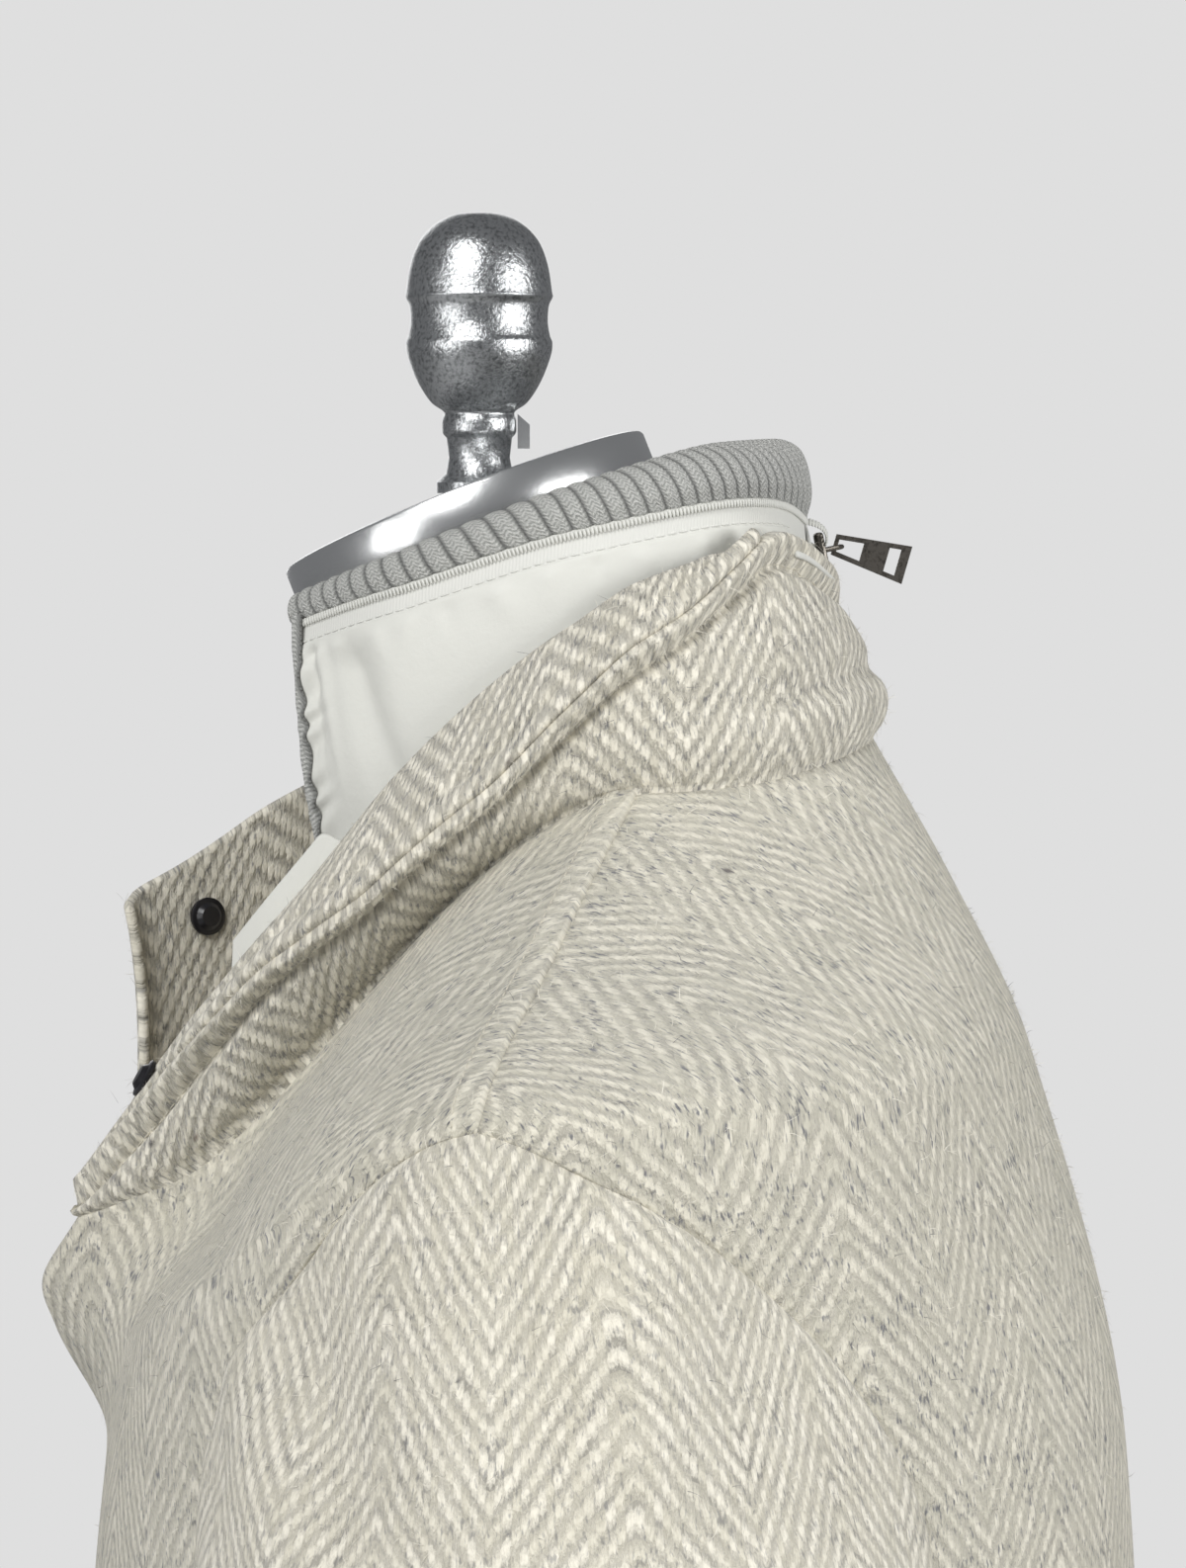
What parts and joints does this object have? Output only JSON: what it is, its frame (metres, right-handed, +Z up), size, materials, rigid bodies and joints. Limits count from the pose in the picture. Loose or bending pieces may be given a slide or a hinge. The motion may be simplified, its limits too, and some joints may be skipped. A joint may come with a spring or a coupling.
{
  "type": "wool coat on dress form",
  "caption": "Hip-length herringbone wool coat with a half-open zipped collar and a rib-knit inner collar, on a limbless dress form with a turned metal finial and round foot",
  "frame": {"origin": "on the floor under the pole, at the middle of the round foot", "axes": "+Z up, -Y the wearer's front, +X the wearer's left"},
  "size_m": [0.628, 0.38, 1.6188],
  "materials": {
    "wool": "napped herringbone wool, cream over grey",
    "knit": "pale grey rib knit",
    "nylon": "white woven nylon",
    "zip_tape": "white zip tape and coil",
    "gunmetal": "polished gunmetal",
    "black": "black, softly glossy",
    "form_cloth": "plain linen cover",
    "metal": "cast and plated metal, slightly pitted"
  },
  "bodies": {
    "coat": {"back_panel": "wool", "front_left": "wool", "front_right": "wool", "top_sleeve_left": "wool", "top_sleeve_right": "wool", "under_sleeve_left": "wool", "under_sleeve_right": "wool", "under_collar": "wool", "top_collar": "wool", "knit_collar": "knit", "pouch_lining": "nylon", "pouch_edge": "nylon", "zip_tape_upper": "zip_tape", "zip_tape_lower": "zip_tape", "zip_closed": "zip_tape", "zip_slider": "gunmetal", "snap_left": "black", "snap_right": "black", "button_1": "black", "button_2": "black", "button_3": "black", "bust": "form_cloth", "neck_cap": "metal", "finial": "metal", "finial_lever": "metal", "pole": "metal", "base_plate": "metal"},
    "pull": {"zip_pull": "gunmetal"}
  },
  "joints": [
    {"name": "pull_swing", "type": "hinge", "parent": "coat", "child": "pull", "pos_m": [0, 0.06534, 1.52543], "axis": [0, 0.2756, 0.9613], "range_deg": [-70, 70]}
  ]
}
